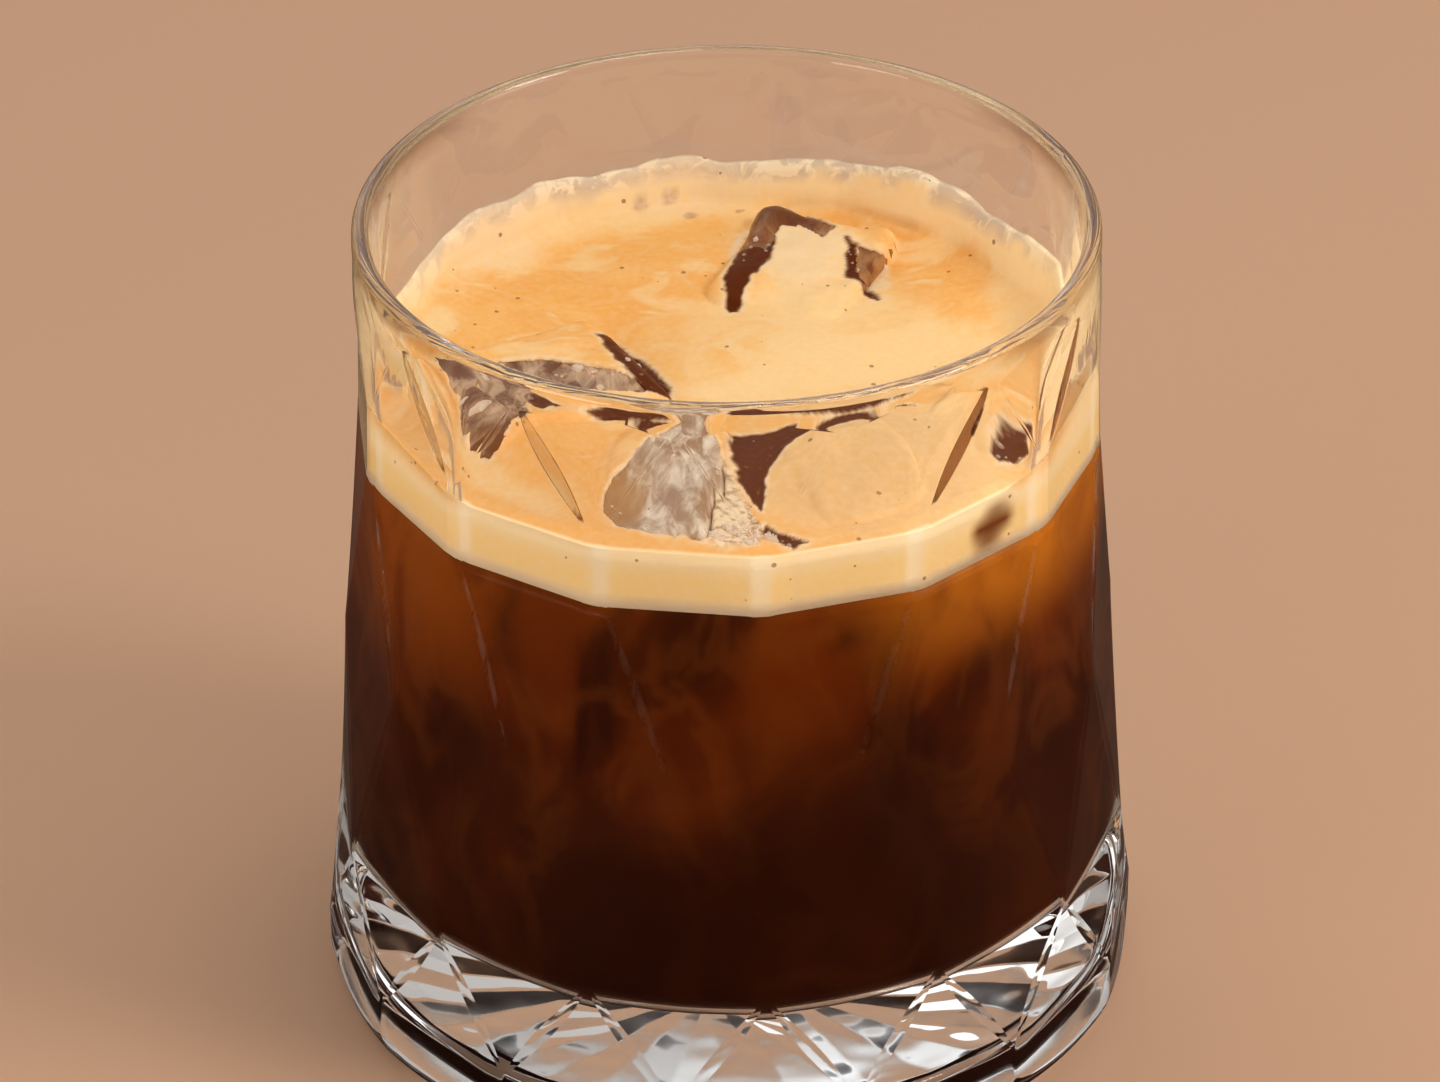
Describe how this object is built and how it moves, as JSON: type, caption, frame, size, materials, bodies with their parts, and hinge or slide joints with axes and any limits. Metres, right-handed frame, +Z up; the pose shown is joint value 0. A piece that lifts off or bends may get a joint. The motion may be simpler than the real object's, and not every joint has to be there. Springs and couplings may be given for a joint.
{
  "type": "iced espresso in a cut glass tumbler",
  "caption": "Iced espresso with a cream-coloured foam top and pieces of ice, in a heavy clear cut-glass tumbler with a plain round rim.",
  "frame": {"origin": "middle of the glass's foot, on the surface it stands on", "axes": "+Z up along the glass's axis; -Y is the front, the side with the two front pieces of ice"},
  "size_m": [0.094, 0.0936, 0.098],
  "materials": {
    "glass": "clear, polished, cut facets",
    "coffee": "wet dark brown liquid",
    "foam": "soft bubbly cream-coloured foam",
    "ice": "wet clear ice with cracks and bubbles"
  },
  "bodies": {
    "root": {"glass": "glass", "coffee": "coffee", "foam": "foam", "ice_back": "ice", "ice_left": "ice", "ice_front": "ice", "ice_right": "ice", "ice_side": "ice"}
  },
  "joints": []
}
